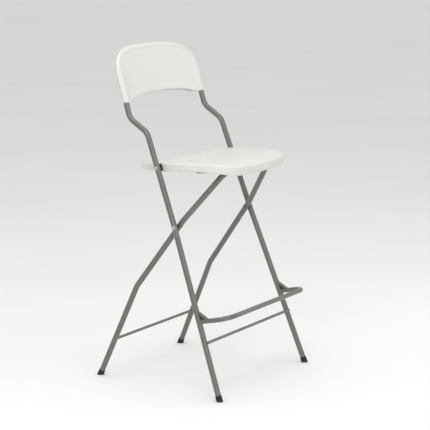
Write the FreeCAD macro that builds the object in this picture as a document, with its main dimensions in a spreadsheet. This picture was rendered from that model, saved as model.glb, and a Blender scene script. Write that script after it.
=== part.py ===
import FreeCAD, Part
import math
import os

from FreeCAD import Vector, Placement, Rotation

# ---------------------------------------------------------------------------
# Folding bar stool: steel tube frame that crosses like scissors, moulded seat
# and backrest, bow footrest.
# Frame: X to the sitter's left, front faces -Y, +Z up, origin on the floor
# under the centre of the stool.  Every length is in millimetres.
# ---------------------------------------------------------------------------

doc = FreeCAD.newDocument("folding_bar_stool")
sheet = doc.addObject("Spreadsheet::Sheet", "dims")

DIMS = [
    # main tubes
    ("tube_od", 19.0), ("tube_wall", 1.2), ("bend_radius", 46.0),
    # front legs, bent once at the leg pivot and twice below the backrest
    ("front_foot_x", 275.9), ("front_foot_y", -258.7),
    ("pivot_x", 232.6), ("pivot_y", -52.0), ("pivot_z", 552.5),
    ("sbend_low_x", 223.4), ("sbend_low_y", 62.7), ("sbend_low_z", 859.0),
    ("sbend_up_y", 133.0), ("sbend_up_z", 902.6),
    ("socket_x", 221.2), ("socket_y", 149.1), ("socket_z", 955.0),
    ("upright_end_z", 1040.0),
    # rear frame
    ("rear_foot_x", 243.6), ("rear_foot_y", 258.7),
    ("knee_x", 224.5), ("knee_y", 111.7), ("knee_z", 330.3), ("knee_radius", 60.0),
    ("rear_pivot_x", 204.6),
    ("lean_y", -68.5), ("lean_z", 574.6),
    ("top_bar_x", 137.5), ("top_bar_y", -188.2), ("top_bar_z", 735.0), ("top_bar_radius", 32.0),
    ("tube_start_z", 6.0),
    # cross braces
    ("brace_od", 10.0), ("front_brace_z", 182.7), ("front_brace_out", 8.5),
    ("rear_brace_z", 134.5),
    # footrest bow
    ("foot_rail_od", 16.0), ("foot_rail_wall", 1.2), ("foot_rail_radius", 50.0),
    ("foot_rail_leg_z", 252.0), ("foot_rail_front_y", -273.0), ("foot_rail_front_z", 277.0),
    ("foot_rail_x", 256.0), ("brace_width", 12.0), ("brace_thick", 3.5), ("insert_width", 7.0),
    ("brace_rise", 33.0), ("brace_run", 34.0),
    # foot caps
    ("cap_wall", 1.2), ("cap_height", 20.0), ("cap_sole", 0.4),
    # leg pivot
    ("rivet_od", 8.0), ("rivet_clear", 0.05), ("rivet_head_od", 14.5), ("rivet_head_thick", 3.2),
    ("spacer_od", 17.0),
    # seat hinge
    ("hinge_y", 20.9), ("hinge_z", 745.0), ("hinge_rivet_od", 7.0),
    ("hinge_block_front", 7.0), ("hinge_block_rear", 8.0), ("hinge_block_low", 12.5),
    ("hinge_block_high", 11.5), ("hinge_block_inner", 198.0), ("hinge_block_outer", 213.5),
    # seat
    ("seat_rise", 0.052), ("seat_top_z", 761.6), ("seat_panel", 13.0), ("seat_skin", 2.6),
    ("seat_rim", 10.0), ("seat_edge_radius", 9.0),
    ("seat_rear_y", 50.0), ("seat_ear_y", 109.0), ("seat_rear_x", 200.0),
    ("seat_nose_start", -165.0), ("seat_nose_drop", 16.0),
    # steel rails and guide channels under the seat
    ("rail_thick", 2.0), ("rail_x", 184.0), ("rail_width", 12.0), ("rail_low_z", 733.2), ("rail_low_rise", 0.0975), ("rail_front_y", -176.0), ("rail_rear_y", -109.0),
    ("guide_x", 78.0), ("guide_half", 15.0), ("guide_lip", 11.0), ("guide_wall", 2.0),
    ("guide_front_y", -204.0), ("guide_rear_y", 14.0), ("guide_gap", 0.3), ("guide_stop", 16.0),
    ("sleeve_wall", 1.6),
    # backrest
    ("back_sag", 30.0), ("back_thick", 19.0), ("back_socket_r", 12.4), ("back_skin", 2.6),
    ("back_height", 196.5), ("back_rim", 7.0),
    # screws
    ("screw_od", 4.5), ("screw_head_od", 9.0), ("screw_head_thick", 2.6), ("screw_length", 9.0),
]
for row, (alias, value) in enumerate(DIMS, start=1):
    sheet.set("A%d" % row, alias)
    sheet.set("B%d" % row, repr(value))
    sheet.setAlias("B%d" % row, alias)
doc.recompute()


def d(alias):
    return float(getattr(sheet, alias))


NODES = []


def node(obj, label):
    obj.Label = label
    NODES.append(obj)
    return obj


def hidden(obj, label):
    obj.Label = label
    return obj


# ---------------------------------------------------------------------------
# bent tubes: straight runs joined by tangent arcs, swept with a round section
# ---------------------------------------------------------------------------
def bent_wire(points, radii):
    """Wire of straight runs and tangent arcs through the given corner points."""
    edges = []
    start = points[0]
    for i in range(1, len(points) - 1):
        p, q, r = points[i - 1], points[i], points[i + 1]
        u = (p - q).normalize()
        v = (r - q).normalize()
        half = math.acos(max(-1.0, min(1.0, u.dot(v)))) / 2.0
        cut = radii[i - 1] / math.tan(half)
        a = q + u * cut
        b = q + v * cut
        centre = q + (u + v).normalize() * (radii[i - 1] / math.sin(half))
        mid = centre + (q - centre).normalize() * radii[i - 1]
        edges.append(Part.LineSegment(start, a).toShape())
        edges.append(Part.Arc(a, mid, b).toShape())
        start = b
    edges.append(Part.LineSegment(start, points[-1]).toShape())
    return Part.Wire(edges)


def sweep(name, wire_obj, start, direction, radius_expr):
    ring = doc.addObject("Part::Circle", name + "_section")
    ring.setExpression("Radius", radius_expr)
    ring.Placement = Placement(start, Rotation(Vector(0, 0, 1), direction))
    doc.recompute()
    swept = doc.addObject("Part::Sweep", name)
    swept.Sections = [ring]
    swept.Spine = (wire_obj, ["Edge%d" % (k + 1) for k in range(len(wire_obj.Shape.Edges))])
    swept.Solid = True
    swept.Frenet = False
    return swept


def tube(name, points, radii, od_cell, wall_cell, plug=True):
    """Hollow bent tube; returns (tube object, solid outer sweep)."""
    path = doc.addObject("Part::Feature", name + "_path")
    path.Shape = bent_wire(points, radii)
    direction = (points[1] - points[0]).normalize()
    outer = sweep(name + "_outside", path, points[0], direction, "dims.%s / 2" % od_cell)
    inner = sweep(name + "_inside", path, points[0], direction,
                  "dims.%s / 2 - dims.%s" % (od_cell, wall_cell))
    hollow = doc.addObject("Part::Cut", name + "_hollow")
    hollow.Base = outer
    hollow.Tool = inner
    doc.recompute()
    return hollow, outer


def rod(name, centre, axis, radius_expr, length_expr):
    """Cylinder that starts at centre and runs along axis."""
    c = doc.addObject("Part::Cylinder", name)
    c.setExpression("Radius", radius_expr)
    c.setExpression("Height", length_expr)
    c.Placement = Placement(centre, Rotation(Vector(0, 0, 1), axis))
    return c


def cut(name, base, tools):
    current = base
    for k, tool in enumerate(tools):
        c = doc.addObject("Part::Cut", "%s_cut%d" % (name, k))
        c.Base = current
        c.Tool = tool
        current = c
    return current


def fuse(name, shapes):
    f = doc.addObject("Part::MultiFuse", name)
    f.Shapes = shapes
    return f


def group(name, shapes):
    """Identical loose pieces that share one node."""
    g = doc.addObject("Part::Compound", name)
    g.Links = shapes
    return g


def lerp_at_z(p, q, z):
    k = (z - p.z) / (q.z - p.z)
    return p + (q - p) * k


# ---------------------------------------------------------------------------
# front legs and uprights
# ---------------------------------------------------------------------------
def front_points(side):
    foot = Vector(side * d("front_foot_x"), d("front_foot_y"), 0)
    pivot = Vector(side * d("pivot_x"), d("pivot_y"), d("pivot_z"))
    low = Vector(side * d("sbend_low_x"), d("sbend_low_y"), d("sbend_low_z"))
    up = Vector(side * d("sbend_low_x"), d("sbend_up_y"), d("sbend_up_z"))
    sock = Vector(side * d("socket_x"), d("socket_y"), d("socket_z"))
    end = lerp_at_z(up, sock, d("upright_end_z"))
    end.x = side * d("socket_x")
    sock.x = side * d("socket_x")
    start = lerp_at_z(foot, pivot, d("tube_start_z"))
    return foot, start, pivot, low, up, end


def rear_points(side):
    foot = Vector(side * d("rear_foot_x"), d("rear_foot_y"), 0)
    knee = Vector(side * d("knee_x"), d("knee_y"), d("knee_z"))
    pivot = Vector(side * d("rear_pivot_x"), d("pivot_y"), d("pivot_z"))
    lean = Vector(side * d("rear_pivot_x"), d("lean_y"), d("lean_z"))
    top = Vector(side * d("top_bar_x"), d("top_bar_y"), d("top_bar_z"))
    return foot, knee, pivot, lean, top


SIDES = (("left", 1.0), ("right", -1.0))
R = d("tube_od") / 2.0

front_outer = {}
front_tube = {}
for word, side in SIDES:
    foot, start, pivot, low, up, end = front_points(side)
    hollow, outer = tube("front_leg_%s" % word, [start, pivot, low, up, end],
                         [250.0, d("bend_radius"), d("bend_radius")], "tube_od", "tube_wall")
    front_outer[word] = outer
    front_tube[word] = hollow

# rear frame: one tube, foot to foot, over the bar that slides under the seat
foot_l, knee_l, piv_l, lean_l, top_l = rear_points(1.0)
foot_r, knee_r, piv_r, lean_r, top_r = rear_points(-1.0)
start_l = lerp_at_z(foot_l, knee_l, d("tube_start_z"))
start_r = lerp_at_z(foot_r, knee_r, d("tube_start_z"))
rear_hollow, rear_outer = tube(
    "rear_frame", [start_l, knee_l, lean_l, top_l, top_r, lean_r, knee_r, start_r],
    [d("knee_radius"), 60.0, d("top_bar_radius"), d("top_bar_radius"), 60.0, d("knee_radius")],
    "tube_od", "tube_wall")

# ---------------------------------------------------------------------------
# bores for the four pivots
# ---------------------------------------------------------------------------
PIV = Vector(0, d("pivot_y"), d("pivot_z"))
HINGE = Vector(0, d("hinge_y"), d("hinge_z"))
AX = Vector(1, 0, 0)

leg_bore = rod("leg_pivot_bore", PIV - AX * 330, AX, "dims.rivet_od / 2 + dims.rivet_clear", "660")
hinge_bore = rod("seat_hinge_bore", HINGE - AX * 330, AX, "dims.hinge_rivet_od / 2 + dims.rivet_clear", "660")
doc.recompute()

node(cut("rear_frame_tube", rear_hollow, [leg_bore]), "rear_frame_tube")

# ---------------------------------------------------------------------------
# braces between the legs, their ends coped to the tubes
# ---------------------------------------------------------------------------
foot, start, pivot, low, up, end = front_points(1.0)
at = lerp_at_z(foot, pivot, d("front_brace_z"))
slope = (pivot - foot)
out = Vector(0, -slope.z, slope.y).normalize() * d("front_brace_out")
fb = rod("front_brace_rod", Vector(-at.x, at.y, at.z) + out, AX, "dims.brace_od / 2", "%r" % (2 * at.x))
node(cut("front_brace", fb, [front_outer["left"], front_outer["right"]]), "front_crossbar")

at = lerp_at_z(foot_l, knee_l, d("rear_brace_z"))
rb = rod("rear_brace_rod", Vector(-at.x, at.y, at.z), AX, "dims.brace_od / 2", "%r" % (2 * at.x))
node(cut("rear_brace", rb, [rear_outer]), "rear_crossbar")

# ---------------------------------------------------------------------------
# footrest bow and its braces
# ---------------------------------------------------------------------------
leg_pt = lerp_at_z(foot, pivot, d("foot_rail_leg_z"))
fx = d("foot_rail_x")
corner = Vector(fx, d("foot_rail_front_y"), d("foot_rail_front_z"))
rail_pts = [Vector(leg_pt.x - 1.0, leg_pt.y, leg_pt.z), corner,
            Vector(-corner.x, corner.y, corner.z), Vector(-leg_pt.x + 1.0, leg_pt.y, leg_pt.z)]
rail_hollow, rail_outer = tube("footrest", rail_pts,
                               [d("foot_rail_radius"), d("foot_rail_radius")],
                               "foot_rail_od", "foot_rail_wall")
node(cut("footrest_tube", rail_hollow, [front_outer["left"], front_outer["right"]]), "footrest_tube")


axis_leg = (pivot - foot).normalize()
rail_dir = (corner - rail_pts[0]).normalize()
base = Vector(0, leg_pt.y, leg_pt.z)
toe = base + Vector(0, rail_dir.y, rail_dir.z) * 3.0
run_end = base + Vector(0, rail_dir.y, rail_dir.z) * (R + d("brace_run"))
rise_end = base + Vector(0, axis_leg.y, axis_leg.z) * (R + d("brace_rise"))
long_side = (run_end - rise_end).normalize()
inward = Vector(0, -long_side.z, long_side.y)
if inward.dot(toe - rise_end) < 0:
    inward = inward * -1.0


def web(name, outline, width_cell, word, side):
    """Flat plate across X with the given side view, coped to the leg and the footrest."""
    body = doc.addObject("PartDesign::Body", "%s_body_%s" % (name, word))
    sk = body.newObject("Sketcher::SketchObject", "%s_outline_%s" % (name, word))
    plane = [f for f in body.Origin.OriginFeatures if f.Role == "YZ_Plane"][0]
    sk.AttachmentSupport = [(plane, "")]
    sk.MapMode = "FlatFace"
    pts = [Vector(p.y, p.z, 0) for p in outline]
    for i in range(len(pts)):
        sk.addGeometry(Part.LineSegment(pts[i], pts[(i + 1) % len(pts)]), False)
    pad = body.newObject("PartDesign::Pad", "%s_pad_%s" % (name, word))
    pad.Profile = sk
    pad.setExpression("Length", "dims.%s" % width_cell)
    pad.Midplane = True
    sk.Visibility = False
    body.Placement = Placement(Vector(side * (leg_pt.x - 1.5), 0, 0), Rotation())
    doc.recompute()
    return cut("%s_%s" % (name, word), body, [front_outer[word], rail_outer])


# a flat strap braces the corner, a black plastic insert fills the triangle behind it
step = inward * d("brace_thick")
brace_outline = [run_end, rise_end, rise_end + step, run_end + step]
insert_outline = [run_end + step * 1.01, rise_end + step * 1.01, toe]
for word, side in SIDES:
    node(web("footrest_brace", brace_outline, "brace_width", word, side), "footrest_brace_%s" % word)
for word, side in SIDES:
    node(web("footrest_insert", insert_outline, "insert_width", word, side), "footrest_insert_%s" % word)


# ---------------------------------------------------------------------------
# rubber foot caps: a cup with a slightly wider sole, set on the tube's end
# ---------------------------------------------------------------------------
def foot_cap(label, ground, toward, outer):
    direction = (toward - ground).normalize()
    r_out = R + d("cap_wall")
    body = doc.addObject("PartDesign::Body", label + "_body")
    sk = body.newObject("Sketcher::SketchObject", label + "_profile")
    plane = [f for f in body.Origin.OriginFeatures if f.Role == "XZ_Plane"][0]
    sk.AttachmentSupport = [(plane, "")]
    sk.MapMode = "FlatFace"
    hgt = d("cap_height")
    prof = [Vector(0, -8, 0), Vector(r_out + d("cap_sole"), -8, 0), Vector(r_out + d("cap_sole"), 3, 0),
            Vector(r_out + 0.25, 6, 0), Vector(r_out, hgt - 1.5, 0), Vector(r_out - 1.0, hgt, 0),
            Vector(0, hgt, 0)]
    for i in range(len(prof)):
        sk.addGeometry(Part.LineSegment(prof[i], prof[(i + 1) % len(prof)]), False)
    rev = body.newObject("PartDesign::Revolution", label + "_turned")
    rev.Profile = sk
    rev.ReferenceAxis = (sk, ["V_Axis"])
    rev.Angle = 360.0
    sk.Visibility = False
    body.Placement = Placement(ground, Rotation(Vector(0, 0, 1), direction))
    floor = doc.addObject("Part::Box", label + "_floor")
    floor.Length = 80
    floor.Width = 80
    floor.Height = 40
    floor.Placement = Placement(ground + Vector(-40, -40, -40), Rotation())
    doc.recompute()
    return node(cut(label, body, [floor, outer]), label)


for word, side in SIDES:
    f_foot, f_start, f_pivot, _a, _b, _c = front_points(side)
    foot_cap("front_foot_cap_%s" % word, f_foot, f_pivot, front_outer[word])
for word, side in SIDES:
    r_foot, r_knee, _p, _l, _t = rear_points(side)
    foot_cap("rear_foot_cap_%s" % word, r_foot, r_knee, rear_outer)


# ---------------------------------------------------------------------------
# rivets, spacers: turned pieces on the two pivot axes
# ---------------------------------------------------------------------------
def turned(name, profile, centre, axis):
    """Body of revolution: profile points are (radius, distance along axis)."""
    body = doc.addObject("PartDesign::Body", name + "_body")
    sk = body.newObject("Sketcher::SketchObject", name + "_profile")
    plane = [f for f in body.Origin.OriginFeatures if f.Role == "XZ_Plane"][0]
    sk.AttachmentSupport = [(plane, "")]
    sk.MapMode = "FlatFace"
    pts = [Vector(p[0], p[1], 0) for p in profile]
    for i in range(len(pts)):
        sk.addGeometry(Part.LineSegment(pts[i], pts[(i + 1) % len(pts)]), False)
    rev = body.newObject("PartDesign::Revolution", name + "_turned")
    rev.Profile = sk
    rev.ReferenceAxis = (sk, ["V_Axis"])
    rev.Angle = 360.0
    sk.Visibility = False
    body.Placement = Placement(centre, Rotation(Vector(0, 0, 1), axis))
    return body


def dome(radius, thick, base, sign, steps=7):
    """Rim-to-crown points of a domed rivet head."""
    rim = 0.9
    pts = [(radius, base), (radius, base + sign * rim)]
    for i in range(1, steps):
        a = math.pi / 2 * i / steps
        pts.append((radius * math.cos(a), base + sign * (rim + (thick - rim) * math.sin(a))))
    pts.append((0, base + sign * thick))
    return pts


def rivet(name, side, x_in, x_out, shaft_r, head_r, thick, centre, outer):
    """Rivet along X, heads at |x| = x_in (inner) and x_out (outer)."""
    axis = Vector(side, 0, 0)
    prof = [(0, x_in - thick)]
    inner = dome(head_r, thick, x_in, -1.0)
    inner = inner[::-1][1:]
    prof += [p for p in inner if p[0] > 1e-6]
    prof += [(shaft_r, x_in), (shaft_r, x_out - 3.0)]
    prof += [(head_r, x_out - 3.0)] + dome(head_r, thick, x_out, 1.0)[1:-1] + [(0, x_out + thick)]
    body = turned(name, prof, centre, axis)
    return body


rivets = []
spacers = []
# the rear tube leans a little at the pivot: its centre there, and what the lean adds
rear_at = lerp_at_z(knee_l, lean_l, d("pivot_z")).x
rear_lean = d("spacer_od") / 2 * abs(knee_l.x - lean_l.x) / (lean_l - knee_l).Length
for word, side in SIDES:
    b = rivet("leg_rivet_%s" % word, side, rear_at - R - rear_lean - 0.4, d("pivot_x") + R - 0.2,
              d("rivet_od") / 2, d("rivet_head_od") / 2, d("rivet_head_thick"), PIV, None)
    # the outer head is pressed onto the leg: trimmed to the leg's outside, shaft kept
    trimmer = cut("leg_rivet_trim_%s" % word, front_outer[word], [leg_bore])
    rivets.append(cut("leg_rivet_part_%s" % word, b, [trimmer]))
    x0 = rear_at + R + rear_lean + 0.35
    x1 = d("pivot_x") - 2.0
    s_ = rod("leg_spacer_rod_%s" % word, PIV + Vector(side * x0, 0, 0), Vector(side, 0, 0),
             "dims.spacer_od / 2", "%r" % (x1 - x0))
    spacers.append(cut("leg_spacer_part_%s" % word, s_, [front_outer[word], leg_bore]))
doc.recompute()
node(group("leg_pivot_rivets", rivets), "leg_pivot_rivets")
node(group("leg_pivot_spacers", spacers), "leg_pivot_spacers")


# ---------------------------------------------------------------------------
# seat: moulded panel with a turned-down rim, hollow between its skins
# ---------------------------------------------------------------------------
def seat_top(y):
    z = d("seat_top_z") - d("seat_rise") * y
    if y < d("seat_nose_start"):
        z -= d("seat_nose_drop") * ((d("seat_nose_start") - y) / 83.0) ** 2
    return z


def seat_low(y):
    pts = [(-252.0, 727.5), (-235.0, 732.3), (-213.0, 737.3), (-180.0, 740.0), (-150.0, 740.7), (-120.0, 740.6),
           (-90.0, 739.4), (-57.0, 737.0), (-20.0, 733.8), (15.0, 730.8), (45.0, 730.0), (94.0, 729.8), (99.0, 731.5),
           (103.0, 735.0), (107.0, 740.0), (110.0, 742.0)]
    for (a, za), (b, zb) in zip(pts, pts[1:]):
        if a <= y <= b:
            return za + (zb - za) * (y - a) / (b - a)
    return pts[0][1] if y < a else pts[-1][1]


# plan of the side, the front corner and the front edge, from the rear forwards
SIDE_PLAN = [(205.5, 25.0), (207.5, -30.0), (208.0, -85.0), (205.5, -140.0), (199.0, -182.0), (185.5, -212.0),
             (160.0, -234.0), (122.0, -245.2), (64.0, -249.8), (0.0, -251.0)]


def plan_wire(inset, ears=True, z=0.0):
    i = inset
    rx, ry, ey = d("seat_rear_x") - i, d("seat_rear_y") - i, d("seat_ear_y") - i
    if ears:
        p1 = Vector(180 + i, ry + 12, z)
        p2 = Vector(183 + i, ey - 7, z)
        p3 = Vector((183 + i + rx - 2) / 2, ey, z)
        p4 = Vector(rx - 2, ey - 7, z)
        half = [Part.LineSegment(Vector(0, ry, z), Vector(168 + i * 0.5, ry, z)).toShape(),
                Part.Arc(Vector(168 + i * 0.5, ry, z), Vector(177 + i * 0.75, ry + 4, z), p1).toShape(),
                Part.LineSegment(p1, p2).toShape(), Part.Arc(p2, p3, p4).toShape()]
    else:
        p4 = Vector(rx, ry - 14, z)
        half = [Part.LineSegment(Vector(0, ry, z), Vector(rx - 14, ry, z)).toShape(),
                Part.Arc(Vector(rx - 14, ry, z), Vector(rx - 4, ry - 4, z), p4).toShape()]
    full = [(201.0, 60.0)] + SIDE_PLAN + [(-64.0, -249.8)]
    moved = []
    for k in range(1, len(full) - 1):
        t = Vector(full[k + 1][0] - full[k - 1][0], full[k + 1][1] - full[k - 1][1], 0).normalize()
        moved.append(Vector(full[k][0] + t.y * i, full[k][1] - t.x * i, z))
    run = [p4] + [q for q in moved if q.y < p4.y - 6.0]
    run[-1].x = 0.0
    other = [Vector(-q.x, q.y, z) for q in run[:-1]][::-1]
    spl = Part.BSplineCurve()
    spl.interpolate(run + other)
    mirrored = [e.mirror(Vector(0, 0, 0), Vector(1, 0, 0)) for e in half]
    return Part.Wire(Part.__sortEdges__(half + [spl.toShape()] + mirrored))


def prism(wire, z0, z1):
    w = wire.copy()
    w.translate(Vector(0, 0, z0))
    return Part.Face(w).extrude(Vector(0, 0, z1 - z0))


def side_slab(top_fn, low_fn, y0, y1, x_half, n=26):
    """Slab across X whose side view is bounded by two curves."""
    ys = [y0 + (y1 - y0) * i / n for i in range(n + 1)]
    top = Part.BSplineCurve()
    top.interpolate([Vector(-x_half, y, top_fn(y)) for y in ys])
    low = Part.BSplineCurve()
    low.interpolate([Vector(-x_half, y, low_fn(y)) for y in ys])
    a, b = Vector(-x_half, y0, low_fn(y0)), Vector(-x_half, y0, top_fn(y0))
    c, e = Vector(-x_half, y1, low_fn(y1)), Vector(-x_half, y1, top_fn(y1))
    w = Part.Wire([Part.LineSegment(a, b).toShape(), top.toShape(), Part.LineSegment(e, c).toShape(), low.toShape()])
    return Part.Face(w).extrude(Vector(2 * x_half, 0, 0))


def smooth(t):
    t = max(0.0, min(1.0, t))
    return t * t * (3 - 2 * t)


def seat_top_all(y):
    """Top line: the main panel, stepping down to the two rear ears."""
    k = smooth((y - 44.0) / 12.0)
    return seat_top(y) * (1 - k) + (749.5 + 4.5 * smooth((y - 56.0) / 30.0)) * k


seat_shape = prism(plan_wire(0.0), 700, 800).common(
    side_slab(seat_top_all, seat_low, -256.0, 111.0, 240.0, n=72))
# underside recess: leaves the panel and the rim round it
recess = prism(plan_wire(d("seat_rim"), ears=False), 690, 800).common(
    side_slab(lambda y: seat_top(y) - d("seat_panel"), lambda y: 700.0, -256.0, 60.0, 240.0))
rear_gap = Part.makeBox(348, 40, 60, Vector(-174, 25, 700)).common(
    side_slab(lambda y: seat_top(y) - d("seat_panel"), lambda y: 700.0, -20.0, 70.0, 240.0))
seat_shape = seat_shape.cut(recess).cut(rear_gap)
seat_solid = seat_shape.Solids[0] if len(seat_shape.Solids) == 1 else seat_shape


# sealed space between the skins
skin = d("seat_skin")
void = prism(plan_wire(d("seat_rim") + skin, ears=False), 700, 800).common(
    side_slab(lambda y: seat_top(y) - skin, lambda y: seat_top(y) - d("seat_panel") + skin, -240.0, 44.0, 240.0))

seat = doc.addObject("Part::Feature", "seat_shell_solid")
seat.Shape = seat_solid
seat_void = doc.addObject("Part::Feature", "seat_shell_void")
seat_void.Shape = void
seat_cut = doc.addObject("Part::Cut", "seat_shell_hollow")
seat_cut.Base = seat
seat_cut.Tool = seat_void
doc.recompute()

# ---------------------------------------------------------------------------
# seat hinge blocks, rivets and the steel rails that stiffen the seat
# ---------------------------------------------------------------------------
upright_lean = math.degrees(math.atan2(d("sbend_low_y") - d("pivot_y"), d("sbend_low_z") - d("pivot_z")))


def block(word, side):
    body = doc.addObject("PartDesign::Body", "hinge_block_body_%s" % word)
    sk = body.newObject("Sketcher::SketchObject", "hinge_block_outline_%s" % word)
    plane = [f for f in body.Origin.OriginFeatures if f.Role == "YZ_Plane"][0]
    sk.AttachmentSupport = [(plane, "")]
    sk.MapMode = "FlatFace"
    yf, yr = -d("hinge_block_front"), d("hinge_block_rear")
    zl, zh = -d("hinge_block_low"), d("hinge_block_high")
    pts = [Vector(yf, zl, 0), Vector(yr, zl, 0), Vector(yr, zh, 0), Vector(yf, zh, 0)]
    for i in range(4):
        sk.addGeometry(Part.LineSegment(pts[i], pts[(i + 1) % 4]), False)
    pad = body.newObject("PartDesign::Pad", "hinge_block_pad_%s" % word)
    pad.Profile = sk
    pad.setExpression("Length", "dims.hinge_block_outer - dims.hinge_block_inner")
    doc.recompute()
    fil = body.newObject("PartDesign::Fillet", "hinge_block_round_%s" % word)
    names = []
    for i, e in enumerate(pad.Shape.Edges):
        v = e.tangentAt(e.FirstParameter)
        if abs(abs(v.x) - 1) < 1e-6:
            names.append("Edge%d" % (i + 1))
    fil.Base = (pad, names)
    fil.Radius = 3.0
    x = d("hinge_block_inner") if side > 0 else -d("hinge_block_outer")
    body.Placement = Placement(Vector(x, d("hinge_y"), d("hinge_z")), Rotation(Vector(1, 0, 0), -upright_lean))
    doc.recompute()
    return body


hinge_rivets = []
blocks = []
for word, side in SIDES:
    blocks.append(block(word, side))
doc.recompute()
# each block sits in a pocket of the seat's side

up_x = d("pivot_x") + (d("sbend_low_x") - d("pivot_x")) * (d("hinge_z") - d("pivot_z")) / (d("sbend_low_z") - d("pivot_z"))
for (word, side), blk in zip(SIDES, blocks):
    node(cut("seat_hinge_block_%s" % word, blk, [hinge_bore]), "seat_hinge_block_%s" % word)
    axis = Vector(side, 0, 0)
    x_in = d("hinge_block_inner") - 0.4
    x_out = up_x + R - 0.2
    b = rivet("hinge_rivet_%s" % word, side, 190.0, x_out, d("hinge_rivet_od") / 2, 6.2, 2.8, HINGE, None)
    trimmer = cut("hinge_rivet_trim_%s" % word, front_outer[word], [hinge_bore])
    # the rivet's inner end is a plain shank that stops inside the seat's bore
    shank_cut = doc.addObject("Part::Box", "hinge_rivet_end_%s" % word)
    shank_cut.Length = 30
    shank_cut.Width = 30
    shank_cut.Height = 30
    shank_cut.Placement = Placement(Vector((170 if side > 0 else -200.0) + (0.5 if side > 0 else -0.5), d("hinge_y") - 15, d("hinge_z") - 15), Rotation())
    hinge_rivets.append(cut("hinge_rivet_part_%s" % word, b, [trimmer, shank_cut]))
doc.recompute()
node(group("seat_hinge_rivets", hinge_rivets), "seat_hinge_rivets")


# each guide is a folded hat section along Y: the sliding bar bears up against its web,
# its two lips lie against the panel, and a turned-down tongue stops the bar in front
def guide_face(y):
    """Height of the face that the bar's sleeves slide on, parallel to the seat."""
    line = d("hinge_z") + d("seat_rise") * (d("hinge_y") - y)
    drop = (d("hinge_z") + d("seat_rise") * (d("hinge_y") - d("top_bar_y"))) - d("top_bar_z")
    return line - drop + d("tube_od") / 2 + d("sleeve_wall") + d("guide_gap")


def panel_low(y):
    return seat_top(y) - d("seat_panel") - 0.04


def guide(word, side):
    x = side * d("guide_x")
    w = d("guide_wall")
    half = d("guide_half")
    lip = d("guide_lip")
    y0, y1 = d("guide_front_y"), d("guide_rear_y")
    web = side_slab(lambda y: guide_face(y) + w, guide_face, y0, y1, half, n=12)
    parts = []
    for s_ in (-1.0, 1.0):
        fl = side_slab(panel_low, guide_face, y0, y1, w / 2, n=12)
        fl.translate(Vector(s_ * (half - w / 2), 0, 0))
        lp = side_slab(panel_low, lambda y: panel_low(y) - w, y0, y1, lip / 2, n=12)
        lp.translate(Vector(s_ * (half + lip / 2 - 0.5), 0, 0))
        parts += [fl, lp]
    tongue = side_slab(lambda y: guide_face(y) + w, lambda y: guide_face(y) - d("guide_stop"), y0, y0 + w, half, n=2)
    s = web.fuse(parts + [tongue]).removeSplitter()
    s.translate(Vector(x, 0, 0))
    f = doc.addObject("Part::Feature", "slide_guide_solid_%s" % word)
    f.Shape = s
    return f


guides = {}
for word, side in SIDES:
    guides[word] = guide(word, side)


# side rails: short folded steel angles inside the rim
def rail(word, side):
    w = d("rail_thick")
    x = side * d("rail_x")
    top = panel_low
    y0, y1 = d("rail_front_y"), d("rail_rear_y")
    leg_v = side_slab(top, lambda y: d("rail_low_z") + d("rail_low_rise") * (y1 - y), y0, y1, w / 2, n=10)
    leg_h = side_slab(top, lambda y: top(y) - w, y0, y1, d("rail_width") / 2, n=10)
    leg_h.translate(Vector(-side * (d("rail_width") / 2 - w / 2), 0, 0))
    s = leg_v.fuse(leg_h).removeSplitter()
    s.translate(Vector(x, 0, 0))
    f = doc.addObject("Part::Feature", "seat_rail_solid_%s" % word)
    f.Shape = s
    return f


rails = {}
for word, side in SIDES:
    rails[word] = rail(word, side)

# ---------------------------------------------------------------------------
# nylon sleeves on the sliding bar, under each guide
# ---------------------------------------------------------------------------
sleeves = []
for word, side in SIDES:
    x = side * d("guide_x")
    s_ = rod("slide_sleeve_rod_%s" % word, Vector(x - 11, d("top_bar_y"), d("top_bar_z")), AX, "dims.tube_od / 2 + dims.sleeve_wall", "22")
    sleeves.append(cut("slide_sleeve_%s" % word, s_, [rear_outer]))
doc.recompute()
node(group("slide_sleeves", sleeves), "slide_sleeves")


# ---------------------------------------------------------------------------
# backrest: curved moulding with a socket for each upright
# ---------------------------------------------------------------------------
foot, start, pivot, low, up, end = front_points(1.0)
up_dir = (end - up)
up_dir.x = 0
up_dir.normalize()
back_tilt = math.degrees(math.atan2(up_dir.y, up_dir.z))
SOCK = Vector(0, d("socket_y"), d("socket_z"))


def to_world(shape):
    shape.rotate(Vector(0, 0, 0), Vector(1, 0, 0), -back_tilt)
    shape.translate(SOCK)
    return shape


def back_section(grow, sock_r):
    """Closed plan section of the backrest, x across, y back from the socket axis."""
    sx = d("socket_x")
    sag = d("back_sag")
    t2 = d("back_thick") / 2 + grow
    r = sock_r + grow
    e = 9.0
    # front: from left socket to right socket, sagging backwards in the middle
    fl, fr = Vector(-sx, -r, 0), Vector(sx, -r, 0)
    front = Part.BSplineCurve()
    front.interpolate([fr, Vector(sx * 0.62, sag * 0.62 - t2 - 1, 0), Vector(0, sag - t2, 0),
                       Vector(-sx * 0.62, sag * 0.62 - t2 - 1, 0), fl])
    bl, br = Vector(-sx, r, 0), Vector(sx, r, 0)
    rear = Part.BSplineCurve()
    rear.interpolate([bl, Vector(-sx * 0.62, sag * 0.62 + t2 - 1, 0), Vector(0, sag + t2, 0),
                      Vector(sx * 0.62, sag * 0.62 + t2 - 1, 0), br])
    left = Part.Arc(fl, Vector(-sx - r, 0, 0), bl).toShape()
    right = Part.Arc(br, Vector(sx + r, 0, 0), fr).toShape()
    return Part.Wire([front.toShape(), left, rear.toShape(), right])


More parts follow.
